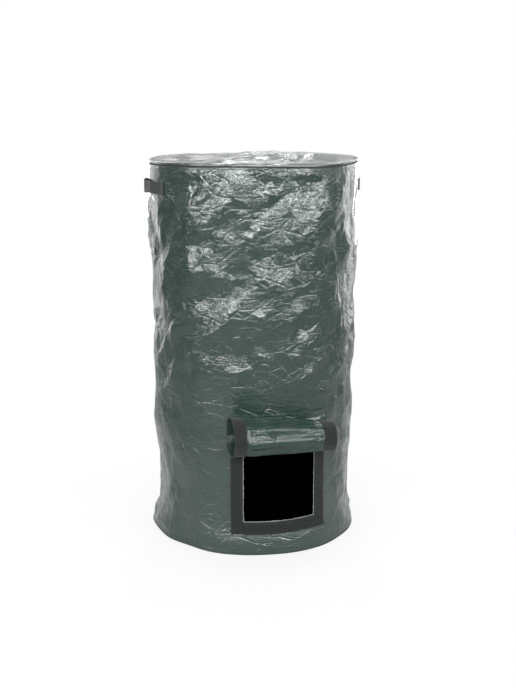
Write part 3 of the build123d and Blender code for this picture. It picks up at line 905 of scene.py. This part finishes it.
def webbing_material():
    material = bpy.data.materials.new("webbing")
    material.use_nodes = True
    nodes, link = material.node_tree.nodes, material.node_tree.links.new
    surface = nodes["Principled BSDF"]
    uv = nodes.new("ShaderNodeUVMap")
    ribs = nodes.new("ShaderNodeTexWave")
    ribs.bands_direction = "X"
    ribs.inputs["Scale"].default_value = 180.0
    ribs.inputs["Distortion"].default_value = 1.2
    ribs.inputs["Detail"].default_value = 1.0
    link(uv.outputs["UV"], ribs.inputs["Vector"])
    lines = nodes.new("ShaderNodeTexWave")
    lines.bands_direction = "Y"
    lines.inputs["Scale"].default_value = 110.0
    link(uv.outputs["UV"], lines.inputs["Vector"])
    woven = nodes.new("ShaderNodeMath")
    woven.operation = "MULTIPLY"
    link(ribs.outputs["Fac"], woven.inputs[0])
    link(lines.outputs["Fac"], woven.inputs[1])
    colour = nodes.new("ShaderNodeMix")
    colour.data_type = "RGBA"
    colour.inputs["A"].default_value = (0.012, 0.014, 0.014, 1)
    colour.inputs["B"].default_value = (0.036, 0.041, 0.040, 1)
    link(woven.outputs[0], colour.inputs["Factor"])
    link(colour.outputs["Result"], surface.inputs["Base Color"])
    surface.inputs["Roughness"].default_value = 0.55
    bump = nodes.new("ShaderNodeBump")
    bump.inputs["Strength"].default_value = 0.7
    bump.inputs["Distance"].default_value = 0.0006
    link(woven.outputs[0], bump.inputs["Height"])
    link(bump.outputs["Normal"], surface.inputs["Normal"])
    return material


webbing = webbing_material()
for side, word in ((1, "right"), (-1, "left")):
    handle_rows = []
    for end, part in ((-1, "front"), (1, "back")):
        half = new_grid(f"{word}_handle_{part}", 44, 8, tab_out, strap_high - strap_low)
        for vertex in half.data.vertices:
            run = tab_out * (0.5 - vertex.co.x)
            z = strap_low + (vertex.co.y + 0.5) * (strap_high - strap_low)
            bow = bow_reach * between(tab_in - run, ((0.0, 0.0), (0.030, 0.62), (tab_in, 1.0)))
            angle = run / wall_radius
            r = wall_line(z) + strap_lift + bow
            vertex.co = (side * r * cos(angle), end * r * sin(angle), z)
        stiffen(half, webbing, strap_thick, offset=0, rounding=0.0005)
        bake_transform(half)
        if end < 0:
            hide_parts(f"{word}_handle_strap", f"{word}_handle_tabs")
        for run in (tab_in + 0.004, tab_out - 0.003):
            for n in range(5):
                angle = run / wall_radius
                z = strap_low + 0.003 + 0.0045 * n
                out = Vector((side * cos(angle), end * sin(angle), 0))
                handle_rows.append((out * (wall_line(z) + 0.0023) + upright * z, upright, out))
        for n in range(22):
            angle = (tab_out - 0.0050) / wall_radius
            z = strap_low + 0.0020 + 0.0010 * n
            out = Vector((side * cos(angle), end * sin(angle), 0))
            along = Vector((-side * sin(angle), end * cos(angle), 0))
            handle_rows.append((out * (wall_line(z) + 0.0022) + upright * z, along, out))
    handle_thread = sew(f"{word}_handle_stitches", handle_rows, length=0.0036, width=0.0009)
    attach(handle_thread, "bag")
    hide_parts(f"{word}_handle_thread")

# Studio: white paper in a room that is white to the camera and shaded grey in reflections, with
# small rectangular lamps round the bag, as in a catalogue photograph cut out on white.
camera_turn, camera_dip, lamp_aim = -15.25, 13.26, Vector((0, 0, 0.5))
bpy.ops.mesh.primitive_plane_add(size=80)
floor = bpy.context.object
floor.name = "floor"
paper = bpy.data.materials.new("white floor")
paper.use_nodes = True
nodes, link = paper.node_tree.nodes, paper.node_tree.links.new
nodes["Principled BSDF"].inputs["Roughness"].default_value = 0.8
place = nodes.new("ShaderNodeTexCoord")
distance = nodes.new("ShaderNodeVectorMath")
distance.operation = "LENGTH"
link(place.outputs["Object"], distance.inputs[0])
tone = nodes.new("ShaderNodeMapRange")
tone.inputs["From Min"].default_value = 0.4
tone.inputs["From Max"].default_value = 1.2
tone.inputs["To Min"].default_value = 0.48
tone.inputs["To Max"].default_value = 0.24
link(distance.outputs["Value"], tone.inputs["Value"])
link(tone.outputs["Result"], nodes["Principled BSDF"].inputs["Base Color"])
fade = nodes.new("ShaderNodeMapRange")
fade.interpolation_type = "SMOOTHSTEP"
fade.inputs["From Min"].default_value = 0.2
fade.inputs["From Max"].default_value = 0.6
fade.inputs["To Min"].default_value = 0.8
fade.inputs["To Max"].default_value = 1.0
link(distance.outputs["Value"], fade.inputs["Value"])
rays = nodes.new("ShaderNodeLightPath")
white = nodes.new("ShaderNodeEmission")
white.inputs["Strength"].default_value = 1.0
seen = nodes.new("ShaderNodeMath")
seen.operation = "MULTIPLY"
link(fade.outputs["Result"], seen.inputs[0])
link(rays.outputs["Is Camera Ray"], seen.inputs[1])
mixed = nodes.new("ShaderNodeMixShader")
link(seen.outputs[0], mixed.inputs["Fac"])
link(nodes["Principled BSDF"].outputs[0], mixed.inputs[1])
link(white.outputs[0], mixed.inputs[2])
link(mixed.outputs[0], nodes["Material Output"].inputs["Surface"])
floor.data.materials.append(paper)

world = bpy.data.worlds.new("white room")
bpy.context.scene.world = world
world.use_nodes = True
nodes, link = world.node_tree.nodes, world.node_tree.links.new
rays = nodes.new("ShaderNodeLightPath")
direction = nodes.new("ShaderNodeTexCoord")
behind = nodes.new("ShaderNodeVectorMath")
behind.operation = "DOT_PRODUCT"
behind.inputs[1].default_value = (0.395, 0.919, 0)
link(direction.outputs["Generated"], behind.inputs[0])
backdrop = nodes.new("ShaderNodeMapRange")
backdrop.inputs["From Min"].default_value = -0.3
backdrop.inputs["From Max"].default_value = 0.4
axes = nodes.new("ShaderNodeSeparateXYZ")
link(direction.outputs["Generated"], axes.inputs[0])
horizon = nodes.new("ShaderNodeMapRange")
horizon.inputs["From Min"].default_value = 0.10
horizon.inputs["From Max"].default_value = 0.28
horizon.inputs["To Min"].default_value = 0.7
horizon.inputs["To Max"].default_value = 0.22
link(axes.outputs["Z"], horizon.inputs["Value"])
link(horizon.outputs["Result"], backdrop.inputs["To Min"])
sky = nodes.new("ShaderNodeMapRange")
sky.inputs["From Min"].default_value = 0.06
sky.inputs["From Max"].default_value = 0.5
sky.inputs["To Min"].default_value = 0.85
sky.inputs["To Max"].default_value = 0.25
link(axes.outputs["Z"], sky.inputs["Value"])
link(sky.outputs["Result"], backdrop.inputs["To Max"])
link(behind.outputs["Value"], backdrop.inputs["Value"])
glossy = nodes.new("ShaderNodeMix")
glossy.inputs["A"].default_value = 0.25
link(rays.outputs["Is Glossy Ray"], glossy.inputs["Factor"])
link(backdrop.outputs["Result"], glossy.inputs["B"])
level = nodes.new("ShaderNodeMath")
level.operation = "MAXIMUM"
link(rays.outputs["Is Camera Ray"], level.inputs[0])
link(glossy.outputs["Result"], level.inputs[1])
nodes["Background"].inputs["Color"].default_value = (1, 1, 1, 1)
link(level.outputs[0], nodes["Background"].inputs["Strength"])

for name, turn, away, up, width, height, watts in (
        ("left lamp", -54, 2.4, 1.05, 0.30, 0.45, 23),
        ("left front lamp", -30, 2.5, 1.12, 0.30, 0.40, 24),
        ("key", -10, 2.5, 1.40, 0.4, 0.35, 38),
        ("front lamp", 12, 2.5, 1.08, 0.30, 0.40, 22),
        ("right front lamp", 36, 2.5, 1.20, 0.30, 0.40, 23),
        ("right lamp", 60, 2.4, 1.00, 0.30, 0.5, 23),
        ("left strip", -138, 1.7, 0.7, 0.30, 1.2, 5),
        ("right strip", 132, 1.7, 0.7, 0.45, 1.2, 8.5),
        ("back left lamp", -150, 2.3, 2.10, 0.40, 0.40, 18),
        ("back lamp", 180, 2.1, 2.40, 0.50, 0.50, 26),
        ("back right lamp", 150, 2.3, 2.10, 0.40, 0.40, 18),
        ("low left lamp", -160, 2.4, 0.50, 0.35, 0.35, 8),
        ("low back lamp", 182, 2.4, 0.55, 0.35, 0.30, 14),
        ("low right lamp", 160, 2.4, 0.50, 0.35, 0.35, 8),
        ("top box", 0, 0.5, 2.8, 1.2, 1.2, 24)):
    bearing = radians(turn + camera_turn)
    place = (away * sin(bearing), -away * cos(bearing), up)
    bpy.ops.object.light_add(type="AREA", location=place)
    lamp = bpy.context.object
    lamp.name = name
    lamp.data.shape = "RECTANGLE"
    lamp.data.size = width
    lamp.data.size_y = height
    lamp.data.energy = watts
    lamp.visible_camera = False
    lamp.rotation_euler = (lamp_aim - Vector(place)).to_track_quat("-Z", "Y").to_euler()

bpy.ops.object.camera_add(location=(-0.593, -2.213, 0.938),
                          rotation=(radians(90 - camera_dip), 0, radians(camera_turn)))
camera = bpy.context.object
camera.data.lens = 56.12
bpy.context.scene.camera = camera
bpy.context.scene.view_settings.view_transform = "Standard"
